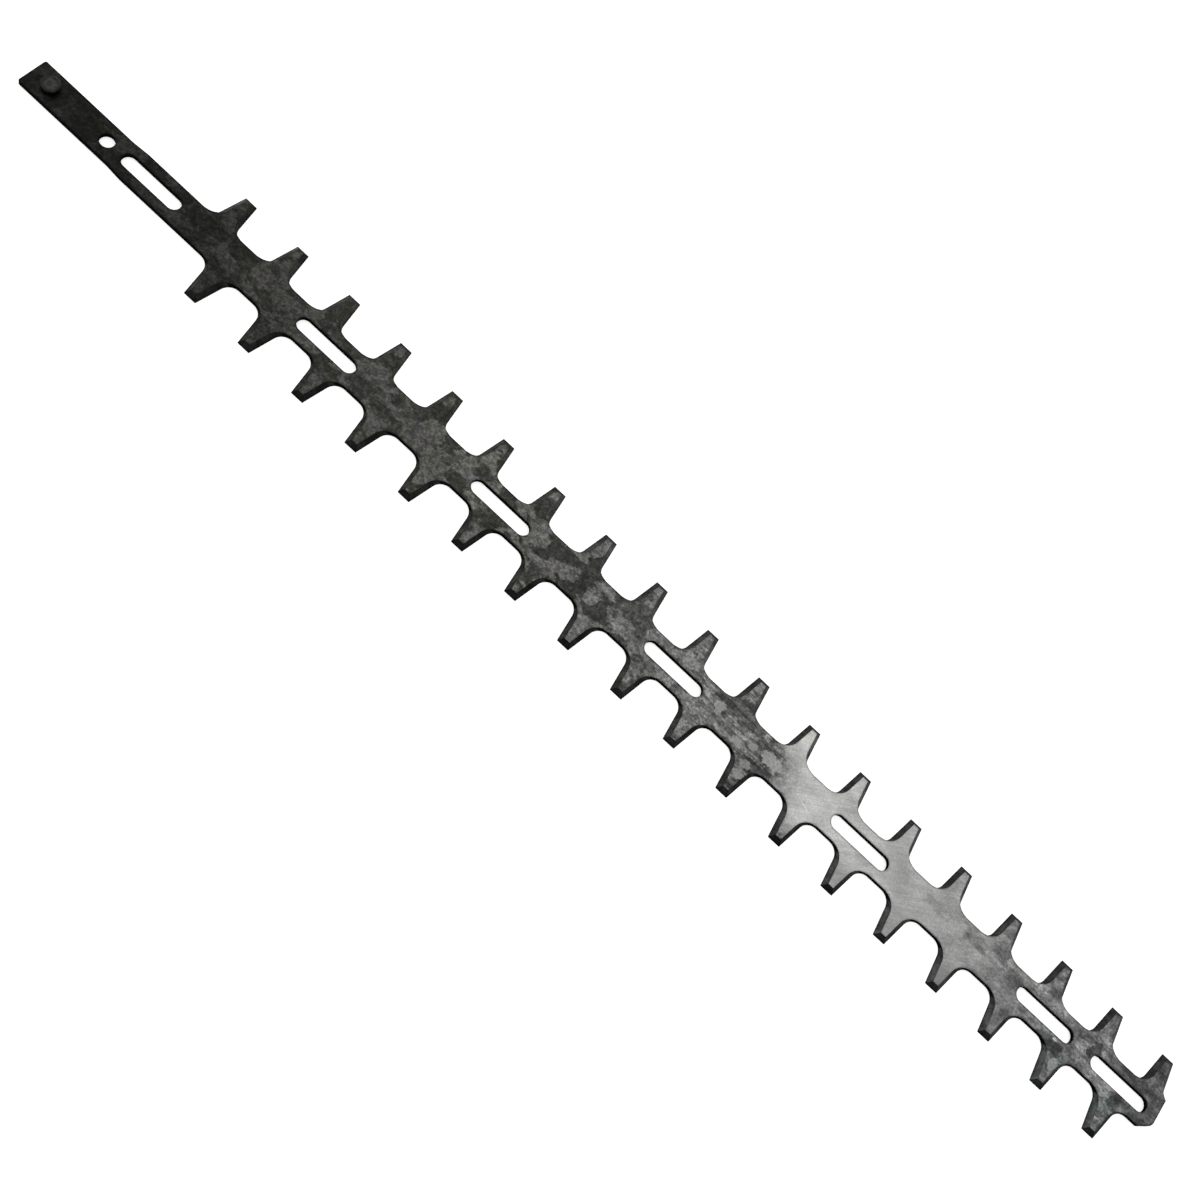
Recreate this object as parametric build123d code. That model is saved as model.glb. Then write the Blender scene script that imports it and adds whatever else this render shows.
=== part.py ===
from build123d import *
import math
import os

# Cutter blade of a double-sided hedge trimmer with its riveted drive pin, in millimetres.
# The origin is on the axis of the round drive hole, in the flat underside that slides on the other blade.
# +X runs from the drive end to the nose, +Y to the longer row of teeth, +Z to the side that is ground.

# Plate
THICKNESS = 2.7
SPINE_WIDTH = 19.1            # from the gullet floors of one row to those of the other
TANG_WIDTH = 17.6
TANG_LENGTH = 48.3            # from the drive hole to the square end
TANG_CORNER_RADIUS = 1.0
SHOULDER_START = 8.2          # past the drive hole, where the tang begins to widen to the spine
SHOULDER_LENGTH = 9.0
NOSE_OVERHANG = 8.1           # from the last tooth's middle to the sheared end
NOSE_CHAMFER_LENGTH = 6.2     # of the corner that is sheared off on the short row's side, along X
NOSE_CHAMFER_WIDTH = 5.0
NOSE_CORNER_RADIUS = 4.5      # where that cut meets the sheared end

# Teeth, in two rows half a pitch apart
TOOTH_PITCH = 34.0
LONG_ROW_TEETH = 19
FIRST_TOOTH_OFFSET = 64.9     # from the drive hole to the first tooth's middle
TIP_SPAN = 59.4               # over the tips of both rows
TIP_WIDTH = 7.1
FLANK_ANGLE = 9.7
ROOT_RADIUS = 6.5

# Ground cutting edges
BEVEL_WIDTH = 2.35            # in plan, across the flanks and tips
EDGE_LAND = 0.4               # thickness that is left at the cutting edge
BEVEL_RUN_OUT = 0.15          # from the gullet floor to where the bevel ends

# Drive hole and guide slots
HOLE_DIAMETER = 7.7
SLOT_WIDTH = 8.0
SLOT_LENGTH = 36.2
HOLE_WEB = 6.4                # metal between the drive hole and the first slot
REAR_SLOTS = 4
REAR_SLOT_SPACING = 112.8
FRONT_SLOTS = 2               # evenly spaced past the rear ones, up to the one behind the nose slot
NOSE_SLOT_WEB = 12.8          # metal between the nose slot and the one behind it
NOSE_WEB = 6.7                # metal between the nose slot and the sheared end

# Drive pin, pressed in and riveted over flush with the underside
PIN_DIAMETER = 9.4
PIN_HEIGHT = 3.0
PIN_CHAMFER = 0.5
PIN_TO_END = 11.8             # from the pin's axis to the tang's end
SHANK_DIAMETER = 6.0
RIVET_DIAMETER = 8.0
RIVET_DEPTH = 1.2
CENTRE_DIAMETER = 3.2         # turning centre in the pin's top
CENTRE_ANGLE = 60.0

OVERCUT = 5.0                 # how far a cutter reaches past the metal

# Derived places
SHORT_ROW_TEETH = LONG_ROW_TEETH - 1
FLOOR = SPINE_WIDTH / 2
TIP = TIP_SPAN / 2
LAST_TOOTH = FIRST_TOOTH_OFFSET + (LONG_ROW_TEETH - 1) * TOOTH_PITCH
NOSE_END = LAST_TOOTH + NOSE_OVERHANG
BEVEL_HEIGHT = THICKNESS - EDGE_LAND
PIN_X = PIN_TO_END - TANG_LENGTH


def slot_places():
    """Middles of the guide slots along X, from the drive hole to the nose."""
    first = HOLE_DIAMETER / 2 + HOLE_WEB + SLOT_LENGTH / 2
    rear = [first + step * REAR_SLOT_SPACING for step in range(REAR_SLOTS)]
    nose = NOSE_END - NOSE_WEB - SLOT_LENGTH / 2
    behind_nose = nose - NOSE_SLOT_WEB - SLOT_LENGTH
    front_spacing = (behind_nose - rear[-1]) / FRONT_SLOTS
    front = [rear[-1] + step * front_spacing for step in range(1, FRONT_SLOTS + 1)]
    return rear + front + [nose]


def gullet_outline(lift=0, flare=0):
    """The gap between two teeth: straight flanks that close towards a floor with round corners.

    It lies about x = 0 on the +Y side, and opens past the tooth tips. A lift raises its floor, and a flare
    moves its flanks outwards and makes its corners rounder.
    """
    floor = FLOOR + lift
    lean = math.radians(FLANK_ANGLE)
    mouth = (TOOTH_PITCH - TIP_WIDTH) / 2 + flare / math.cos(lean)
    half_top = mouth + math.tan(lean) * OVERCUT
    half_floor = mouth - math.tan(lean) * (TIP - floor)
    corners = Polygon(
        (-half_top, TIP + OVERCUT),
        (-half_floor, floor),
        (half_floor, floor),
        (half_top, TIP + OVERCUT),
        align=None,
    )
    corner_turn = math.pi / 2 - lean
    widest_radius = half_floor / math.tan(corner_turn / 2)
    floor_corners = corners.vertices().group_by(Axis.Y)[0]
    return fillet(floor_corners, min(ROOT_RADIUS + flare, 0.98 * widest_radius))


def gullet_cutter():
    """A gullet cut straight through the plate."""
    through = extrude(gullet_outline(), THICKNESS + 2 * OVERCUT)
    return Pos(0, 0, -OVERCUT) * through


def bevel_cutter():
    """The cut that grinds both flanks of a gullet, and dies out round its corners towards the floor."""
    edge = gullet_outline(lift=BEVEL_RUN_OUT)
    top = gullet_outline(lift=BEVEL_RUN_OUT, flare=BEVEL_WIDTH)
    return loft([Pos(0, 0, EDGE_LAND) * edge, Pos(0, 0, THICKNESS) * top], ruled=True)


def tip_bevel_cutter():
    """A long wedge that grinds all the tips of one row to the same slope as the flanks."""
    rise = BEVEL_HEIGHT / BEVEL_WIDTH
    section = Polygon(
        (TIP + OVERCUT, EDGE_LAND - rise * OVERCUT),
        (TIP + OVERCUT, THICKNESS + OVERCUT),
        (TIP - BEVEL_WIDTH - OVERCUT / rise, THICKNESS + OVERCUT),
        align=None,
    )
    length = NOSE_END + TANG_LENGTH
    return extrude(Plane(origin=(-TANG_LENGTH, 0, 0), x_dir=(0, 1, 0), z_dir=(1, 0, 0)) * section, length)


def tang_side_cutter(first_gullet):
    """What is sheared off beside the tang, from its end to the middle of a row's first gullet."""
    half_tang = TANG_WIDTH / 2
    shoulder_end = SHOULDER_START + SHOULDER_LENGTH
    outline = Polygon(
        (-TANG_LENGTH - OVERCUT, half_tang),
        (SHOULDER_START, half_tang),
        (shoulder_end, FLOOR),
        (first_gullet, FLOOR),
        (first_gullet, TIP + OVERCUT),
        (-TANG_LENGTH - OVERCUT, TIP + OVERCUT),
        align=None,
    )
    return Pos(0, 0, -OVERCUT) * extrude(outline, THICKNESS + 2 * OVERCUT)


def nose_side_cutter(last_gullet):
    """What is sheared off beside the nose, from the middle of a row's last gullet to the end."""
    lean = NOSE_CHAMFER_WIDTH / NOSE_CHAMFER_LENGTH
    outline = Polygon(
        (last_gullet, FLOOR),
        (NOSE_END - NOSE_CHAMFER_LENGTH, FLOOR),
        (NOSE_END + OVERCUT, FLOOR - NOSE_CHAMFER_WIDTH - lean * OVERCUT),
        (NOSE_END + OVERCUT, TIP + OVERCUT),
        (last_gullet, TIP + OVERCUT),
        align=None,
    )
    return Pos(0, 0, -OVERCUT) * extrude(outline, THICKNESS + 2 * OVERCUT)


def row_cutters(first_tooth, teeth):
    """All that is cut away to leave one row of ground teeth on the +Y side."""
    first_gullet = first_tooth - TOOTH_PITCH / 2
    gullets = [first_gullet + step * TOOTH_PITCH for step in range(teeth + 1)]
    through = gullet_cutter()
    bevel = bevel_cutter()
    cutters = [Pos(x, 0, 0) * cutter for x in gullets for cutter in (through, bevel)]
    cutters += [tip_bevel_cutter(), tang_side_cutter(first_gullet)]
    if gullets[-1] < NOSE_END:
        cutters.append(nose_side_cutter(gullets[-1]))
    return cutters


def rivet_profile():
    """Half section of the shank with its riveted end, from the underside to the plate's top."""
    return [
        (0, 0),
        (RIVET_DIAMETER / 2, 0),
        (SHANK_DIAMETER / 2, RIVET_DEPTH),
        (SHANK_DIAMETER / 2, THICKNESS),
    ]


def turned(profile):
    """A half section in X and Z, turned about the drive pin's axis."""
    section = Plane.XZ * Polygon(*profile, align=None)
    return Pos(PIN_X, 0, 0) * revolve(section, Axis.Z)


def blank():
    """The strip of plate that the blade is cut from."""
    length = TANG_LENGTH + NOSE_END
    return Pos(-TANG_LENGTH, 0, 0) * Box(length, TIP_SPAN, THICKNESS, align=(Align.MIN, Align.CENTER, Align.MIN))


def hole_cutters():
    """The drive hole, the guide slots and the seat of the drive pin."""
    hole = Pos(0, 0, -OVERCUT) * extrude(Circle(HOLE_DIAMETER / 2), THICKNESS + 2 * OVERCUT)
    slot = Pos(0, 0, -OVERCUT) * extrude(SlotOverall(SLOT_LENGTH, SLOT_WIDTH), THICKNESS + 2 * OVERCUT)
    seat = turned(rivet_profile() + [(0, THICKNESS)])
    return [hole, seat] + [Pos(x, 0, 0) * slot for x in slot_places()]


def round_ends(plate):
    """Rounds the two corners of the tang, and the nose corner on the short row's side."""
    upright = plate.edges().filter_by(Axis.Z)
    plate = fillet(upright.group_by(Axis.X)[0], TANG_CORNER_RADIUS)
    nose_corners = plate.edges().filter_by(Axis.Z).group_by(Axis.X)[-1]
    return fillet(nose_corners.sort_by(Axis.Y)[0], NOSE_CORNER_RADIUS)


def make_blade():
    """The toothed blade: a plate with two rows of ground teeth, a tang, a hole and slots."""
    long_row = row_cutters(FIRST_TOOTH_OFFSET, LONG_ROW_TEETH)
    short_row = row_cutters(FIRST_TOOTH_OFFSET + TOOTH_PITCH / 2, SHORT_ROW_TEETH)
    mirrored = [mirror(cutter, about=Plane.XZ) for cutter in short_row]
    toothed = blank() - long_row - mirrored
    return round_ends(toothed) - hole_cutters()


def make_drive_pin():
    """The drive pin: a short round head on the plate, with a shank that is riveted in its seat."""
    top = THICKNESS + PIN_HEIGHT
    centre_depth = CENTRE_DIAMETER / 2 / math.tan(math.radians(CENTRE_ANGLE))
    profile = rivet_profile() + [
        (PIN_DIAMETER / 2, THICKNESS),
        (PIN_DIAMETER / 2, top - PIN_CHAMFER),
        (PIN_DIAMETER / 2 - PIN_CHAMFER, top),
        (CENTRE_DIAMETER / 2, top),
        (0, top - centre_depth),
    ]
    return turned(profile)


def main():
    """Builds both pieces and writes each to its own file."""
    os.makedirs("parts", exist_ok=True)
    export_step(make_blade(), "parts/blade.step")
    export_step(make_drive_pin(), "parts/drive_pin.step")


if __name__ == "__main__":
    main()
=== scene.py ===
"""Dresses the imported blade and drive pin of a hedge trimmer, and sets a plain studio around them.

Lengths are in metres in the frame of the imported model: the origin is on the drive hole's axis in the flat
underside, +X runs from the drive end to the nose, +Y to the longer row of teeth, +Z out of the ground side.
"""
import logging
import math
from dataclasses import dataclass, field
from enum import Enum
from typing import Optional, Sequence, Union

import bpy
import numpy as np
from mathutils import Matrix, Vector


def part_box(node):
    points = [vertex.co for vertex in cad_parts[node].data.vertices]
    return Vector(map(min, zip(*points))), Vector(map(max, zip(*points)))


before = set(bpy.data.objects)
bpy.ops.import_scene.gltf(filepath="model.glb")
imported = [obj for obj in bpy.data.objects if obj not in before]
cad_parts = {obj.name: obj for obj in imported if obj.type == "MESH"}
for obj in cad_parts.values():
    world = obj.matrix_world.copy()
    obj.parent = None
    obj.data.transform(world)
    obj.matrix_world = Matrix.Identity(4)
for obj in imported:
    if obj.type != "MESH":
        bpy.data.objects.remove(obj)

LOG = logging.getLogger("hedge_trimmer_blade")

# The tone curve of a screen
FULL_GREY = 255.0
CURVE_OFFSET = 0.055
CURVE_POWER = 2.4
DARK_SLOPE = 12.92
DARK_END = 0.04045

NOISE_MIDDLE = 0.5
RAMP_MIDDLE = 0.5
EDGE_SAMPLES = 6
WHITE = (1.0, 1.0, 1.0, 1.0)

Socket = bpy.types.NodeSocket
Value = Union[float, Socket]
Triple = tuple[float, float, float]
Limit = tuple[float, float]


def linear(grey: float) -> float:
    """Turns a display grey into scene light.

    Args:
        grey: A grey from 0 to 255 as a screen shows it.

    Returns:
        The same grey as a linear reflectance from 0 to 1.
    """
    share = grey / FULL_GREY
    if share <= DARK_END:
        return share / DARK_SLOPE
    return ((share + CURVE_OFFSET) / (1.0 + CURVE_OFFSET)) ** CURVE_POWER


class Coordinate(Enum):
    """What a pattern is laid out on: the place on the piece, or the way its surface faces."""

    PLACE = "Object"
    FACING = "Normal"


class Sum(Enum):
    """The sums that a finish works out."""

    ADD = "ADD"
    SUBTRACT = "SUBTRACT"
    MULTIPLY = "MULTIPLY"
    DIVIDE = "DIVIDE"
    MULTIPLY_ADD = "MULTIPLY_ADD"
    ABSOLUTE = "ABSOLUTE"
    POWER = "POWER"
    SQUARE_ROOT = "SQRT"


class Blend(Enum):
    """How a second colour is laid over a first one."""

    COVER = "MIX"
    MULTIPLY = "MULTIPLY"


@dataclass(frozen=True)
class Pattern:
    """Cloudy noise that is laid on a piece.

    Attributes:
        scale: How many of its units a metre has along each of its axes.
        turn: Its direction from +X towards +Y, in degrees.
        shift: Moves it, which gives each pattern its own shapes.
        detail: How many finer layers it has.
        roughness: How strong the finer layers are.
        distortion: How far its shapes are pulled out.
    """

    scale: Triple
    turn: float = 0.0
    shift: Triple = (0.0, 0.0, 0.0)
    detail: float = 3.0
    roughness: float = 0.55
    distortion: float = 0.0


@dataclass(frozen=True)
class Zone:
    """A stretch of the blade with its own tone.

    Attributes:
        x: Where along the blade the tone is reached.
        grey: The tone as a display grey.
    """

    x: float
    grey: float


class FinishGraph:
    """A material whose node tree is written as a chain of short calls."""

    def __init__(self, name: str) -> None:
        """Starts an empty material with a shader.

        Args:
            name: The material's name.
        """
        self.material = bpy.data.materials.new(name)
        self.material.use_nodes = True
        self.tree = self.material.node_tree
        self.tree.nodes.clear()
        self.shader = self.tree.nodes.new("ShaderNodeBsdfPrincipled")
        output = self.tree.nodes.new("ShaderNodeOutputMaterial")
        self.tree.links.new(self.shader.outputs["BSDF"], output.inputs["Surface"])

    def put(self, socket: Socket, value: Union[Value, Sequence[float]]) -> None:
        """Links a socket to another one, or sets it to a constant.

        Args:
            socket: The input to feed.
            value: An output socket, a number or a vector.
        """
        if isinstance(value, bpy.types.NodeSocket):
            self.tree.links.new(value, socket)
        else:
            socket.default_value = value

    def coordinate(self, kind: Coordinate) -> Socket:
        """Gives the piece's own coordinates.

        Args:
            kind: Which coordinates.

        Returns:
            A vector socket.
        """
        return self.tree.nodes.new("ShaderNodeTexCoord").outputs[kind.value]

    def split(self, vector: Socket) -> tuple[Socket, Socket, Socket]:
        """Takes a vector apart.

        Args:
            vector: The vector.

        Returns:
            Its X, Y and Z sockets.
        """
        node = self.tree.nodes.new("ShaderNodeSeparateXYZ")
        self.put(node.inputs[0], vector)
        return node.outputs[0], node.outputs[1], node.outputs[2]

    def joined(self, x: Value, y: Value, z: Value) -> Socket:
        """Puts a vector together.

        Args:
            x: Its X part.
            y: Its Y part.
            z: Its Z part.

        Returns:
            The vector.
        """
        node = self.tree.nodes.new("ShaderNodeCombineXYZ")
        for socket, value in zip(node.inputs, (x, y, z)):
            self.put(socket, value)
        return node.outputs[0]

    def math(self, operation: Sum, a: Value, b: Value = 0.0, c: Value = 0.0) -> Socket:
        """Works out one sum.

        Args:
            operation: The sum.
            a: The first number.
            b: The second number, where the sum has one.
            c: The third number, where the sum has one.

        Returns:
            The result.
        """
        node = self.tree.nodes.new("ShaderNodeMath")
        node.operation = operation.value
        for socket, value in zip(node.inputs, (a, b, c)):
            self.put(socket, value)
        return node.outputs[0]

    def fade(self, value: Value, start: float, end: float, low: Value = 0.0, high: Value = 1.0) -> Socket:
        """Eases from one number to another as a value crosses a band.

        Args:
            value: What is followed.
            start: Where the change begins.
            end: Where it is complete.
            low: The result before the band.
            high: The result after it.

        Returns:
            The eased number.
        """
        node = self.tree.nodes.new("ShaderNodeMapRange")
        node.interpolation_type = "SMOOTHSTEP"
        self.put(node.inputs["Value"], value)
        self.put(node.inputs["From Min"], start)
        self.put(node.inputs["From Max"], end)
        self.put(node.inputs["To Min"], low)
        self.put(node.inputs["To Max"], high)
        return node.outputs["Result"]

    def blend(self, share: Socket, a: Value, b: Value) -> Socket:
        """Eases from a number to another one, by a share from 0 to 1."""
        return self.fade(share, 0.0, 1.0, a, b)

    def light(self, tone: Socket) -> Socket:
        """Turns a screen's tone into light: ((tone + offset) / (1 + offset)) ** power, as above DARK_END."""
        lifted = self.math(Sum.ADD, tone, CURVE_OFFSET)
        return self.math(Sum.POWER, self.math(Sum.DIVIDE, lifted, 1.0 + CURVE_OFFSET), CURVE_POWER)

    def product(self, factors: Sequence[Socket]) -> Socket:
        """Multiplies numbers.

        Args:
            factors: The numbers.

        Returns:
            Their product.
        """
        total = factors[0]
        for factor in factors[1:]:
            total = self.math(Sum.MULTIPLY, total, factor)
        return total

    def swing(self, noise: Socket, band: float, spread: Value) -> Socket:
        """Turns noise into a factor about 1.

        Args:
            noise: The noise.
            band: How far from its middle the noise has its full effect.
            spread: How far the factor goes either way.

        Returns:
            The factor.
        """
        share = self.fade(noise, NOISE_MIDDLE - band, NOISE_MIDDLE + band, -1.0, 1.0)
        return self.math(Sum.MULTIPLY_ADD, share, spread, 1.0)

    def noise(self, place: Socket, pattern: Pattern) -> Socket:
        """Lays a pattern on coordinates, which are turned about Z, scaled and shifted for it.

        Args:
            place: The coordinates.
            pattern: The pattern.

        Returns:
            A number about NOISE_MIDDLE.
        """
        turned = self.tree.nodes.new("ShaderNodeVectorRotate")
        turned.rotation_type = "Z_AXIS"
        self.put(turned.inputs["Vector"], place)
        turned.inputs["Angle"].default_value = -math.radians(pattern.turn)
        mapped = self.tree.nodes.new("ShaderNodeMapping")
        self.put(mapped.inputs["Vector"], turned.outputs[0])
        mapped.inputs["Location"].default_value = pattern.shift
        mapped.inputs["Scale"].default_value = pattern.scale
        node = self.tree.nodes.new("ShaderNodeTexNoise")
        self.put(node.inputs["Vector"], mapped.outputs[0])
        node.inputs["Scale"].default_value = 1.0
        node.inputs["Detail"].default_value = pattern.detail
        node.inputs["Roughness"].default_value = pattern.roughness
        node.inputs["Distortion"].default_value = pattern.distortion
        return node.outputs[0]

    def distance(self, vector: Socket, middle: Triple) -> Socket:
        """Measures how far coordinates are from a middle.

        Args:
            vector: The coordinates.
            middle: The middle.

        Returns:
            The distance.
        """
        node = self.tree.nodes.new("ShaderNodeVectorMath")
        node.operation = "DISTANCE"
        self.put(node.inputs[0], vector)
        node.inputs[1].default_value = middle
        return node.outputs["Value"]

    def ramp(self, value: Socket, stops: Sequence[tuple[float, Triple]]) -> Socket:
        """Follows a value along a row of colours that ease into each other.

        Args:
            value: A number from 0 to 1.
            stops: Places from 0 to 1 with linear colours.

        Returns:
            The colour.
        """
        node = self.tree.nodes.new("ShaderNodeValToRGB")
        row = node.color_ramp
        row.interpolation = "EASE"
        while len(row.elements) < len(stops):
            row.elements.new(RAMP_MIDDLE)
        for element, (place, colour) in zip(row.elements, stops):
            element.position = place
            element.color = (*colour, 1.0)
        self.put(node.inputs["Fac"], value)
        return node.outputs["Color"]

    def tone_along(self, place: Socket, zones: Sequence[Zone]) -> Socket:
        """Follows a row of zones.

        Args:
            place: How far along the blade the point is, in metres.
            zones: The zones.

        Returns:
            The tone from 0 to 1, as a screen shows it.
        """
        first, length = zones[0].x, zones[-1].x - zones[0].x
        share = self.math(Sum.DIVIDE, self.math(Sum.SUBTRACT, place, first), length)
        return self.ramp(share, [((zone.x - first) / length, (zone.grey / FULL_GREY,) * 3) for zone in zones])

    def mixed(
        self,
        share: Value,
        a: Union[Value, Triple],
        b: Union[Value, Triple],
        way: Blend = Blend.COVER,
    ) -> Socket:
        """Blends two colours.

        Args:
            share: How much of the second one shows.
            a: The first colour.
            b: The second colour.
            way: How the second one is laid over the first.

        Returns:
            The blended colour.
        """
        node = self.tree.nodes.new("ShaderNodeMix")
        node.data_type = "RGBA"
        node.blend_type = way.value
        self.put(node.inputs[0], share)
        for socket, value in ((node.inputs[6], a), (node.inputs[7], b)):
            self.put(socket, (*value, 1.0) if isinstance(value, tuple) else value)
        return node.outputs[2]

    def worn_edges(self, radius: float) -> Socket:
        """Lets sharp edges catch the light as if they were slightly round.

        Args:
            radius: The edges' radius in metres.

        Returns:
            A normal.
        """
        node = self.tree.nodes.new("ShaderNodeBevel")
        node.samples = EDGE_SAMPLES
        node.inputs["Radius"].default_value = radius
        return node.outputs[0]

    def at_edge(self, worn: Socket, agreement: Limit) -> Socket:
        """Finds square edges by how far their worn normal turns away from the surface's own.

        Args:
            worn: The normal of the worn edges.
            agreement: The normals' dot product where an edge begins, and where it is full.

        Returns:
            1 on an edge, and 0 away from it.
        """
        flat = self.tree.nodes.new("ShaderNodeNewGeometry").outputs["True Normal"]
        node = self.tree.nodes.new("ShaderNodeVectorMath")
        node.operation = "DOT_PRODUCT"
        self.put(node.inputs[0], worn)
        self.put(node.inputs[1], flat)
        return self.fade(node.outputs["Value"], *agreement)

    def relief(self, height: Socket, depth: float, over: Optional[Socket] = None) -> Socket:
        """Turns a height into a slight relief of the surface.

        Args:
            height: The height, in units of the depth.
            depth: What one unit of height stands for, in metres.
            over: A relief that this one is laid over.

        Returns:
            A normal.
        """
        node = self.tree.nodes.new("ShaderNodeBump")
        node.inputs["Strength"].default_value = 1.0
        node.inputs["Distance"].default_value = depth
        self.put(node.inputs["Height"], height)
        if over is not None:
            self.put(node.inputs["Normal"], over)
        return node.outputs[0]


@dataclass(frozen=True)
class Amount:
    """How strong something is on each stretch of the blade.

    Attributes:
        scale: On the scale.
        bright: On the bright steel.
        nose: On the dull steel at the nose.
    """

    scale: float
    bright: float
    nose: float


@dataclass(frozen=True)
class Layer:
    """A pattern that lightens and darkens what it is laid over.

    Attributes:
        pattern: The pattern.
        band: How far from its middle the noise has its full effect.
        spread: How far its factor goes from 1 either way.
    """

    pattern: Pattern
    band: float
    spread: Union[float, Amount]


@dataclass(frozen=True)
class Tinge:
    """A tint that shows in one part of the blade.

    Attributes:
        colour: What a neutral tone is multiplied by.
        along: The limits along the blade that it lies between.
        across: The limit across the blade that it lies behind.
        cover: The limit in the noise of the hues that it lies behind.
    """

    colour: Triple
    along: tuple[Limit, ...]
    across: Limit
    cover: Limit


@dataclass(frozen=True)
class BevelTones:
    """Tones along the blade of one row's ground bevels, each facing apart: painted light and shade, for how
    the light falls on each facing.

    Attributes:
        rear_flanks: On the flanks that face the drive end.
        nose_flanks: On the flanks that face the nose.
        tips: On the tips.
    """

    rear_flanks: tuple[Zone, ...]
    nose_flanks: tuple[Zone, ...]
    tips: tuple[Zone, ...]


class SpotShape(Enum):
    """How many times longer a spot is along the blade than across it."""

    UPRIGHT = 0.65
    ROUND = 1.3
    LONG = 2.6


@dataclass(frozen=True)
class Spot:
    """An oval place on the blade's face that looks different from what is around it.

    Attributes:
        x: Its middle along the blade.
        y: Its middle across the blade.
        half_length: About half its reach along the blade.
        half_width: About half its reach across the blade.
        effect: What it does there, which depends on the kind of spot.
    """

    x: float
    y: float
    half_length: float
    half_width: float
    effect: float

    @property
    def shape(self) -> SpotShape:
        """The shape that is nearest to its reach both ways."""
        ratio = self.half_length / self.half_width
        return min(SpotShape, key=lambda shape: abs(math.log(ratio / shape.value)))

    @property
    def reach(self) -> float:
        """Half its width, for an oval of its shape with the area that is asked for."""
        return math.sqrt(self.half_length * self.half_width / self.shape.value)


@dataclass(frozen=True)
class BladePoint:
    """What the layers of the blade's finish know about a point of its surface.

    Attributes:
        graph: The finish's graph.
        place: Where the point is.
        facing: The way the surface faces there.
        along: Its place along the zones.
        scaled: How much of the scale is left, which is all of it towards the drive end.
        dulled: How dull the ground steel is, which it is towards the nose.
        lines: The grinding lines.
        ragged: The noise about 0 that frays stains and patches, in shares of their reach.
        shortened: Its place in the plane, with x divided by the length of each spot shape.
    """

    graph: FinishGraph
    place: Socket
    facing: Socket
    along: Socket
    scaled: Socket
    dulled: Socket
    lines: Socket
    ragged: Socket
    shortened: dict[SpotShape, Socket]

    def amount(self, amount: Amount) -> Socket:
        """Blends an amount between the stretches of the blade.

        Args:
            amount: The amount on each stretch.

        Returns:
            bright + scaled * (scale - bright) + dulled * (nose - bright).
        """
        bright = amount.bright
        towards_nose = self.graph.math(Sum.MULTIPLY_ADD, self.dulled, amount.nose - bright, bright)
        return self.graph.math(Sum.MULTIPLY_ADD, self.scaled, amount.scale - bright, towards_nose)

    def factor(self, layer: Layer) -> Socket:
        """Lays a layer on the blade, and gives its factor for the tone."""
        spread = self.amount(layer.spread) if isinstance(layer.spread, Amount) else layer.spread
        return self.graph.swing(self.graph.noise(self.place, layer.pattern), layer.band, spread)

    def distance(self, spot: Spot) -> Socket:
        """Measures how far a spot's middle is, in metres across the blade, which is its reach on its edge."""
        middle = (spot.x / spot.shape.value, spot.y, 0.0)
        return self.graph.distance(self.shortened[spot.shape], middle)

    def ragged_distance(self, spot: Spot) -> Socket:
        """Measures how far a spot's middle is, with noise that makes the spot's edge ragged."""
        return self.graph.math(Sum.MULTIPLY_ADD, self.ragged, spot.reach, self.distance(spot))


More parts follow.
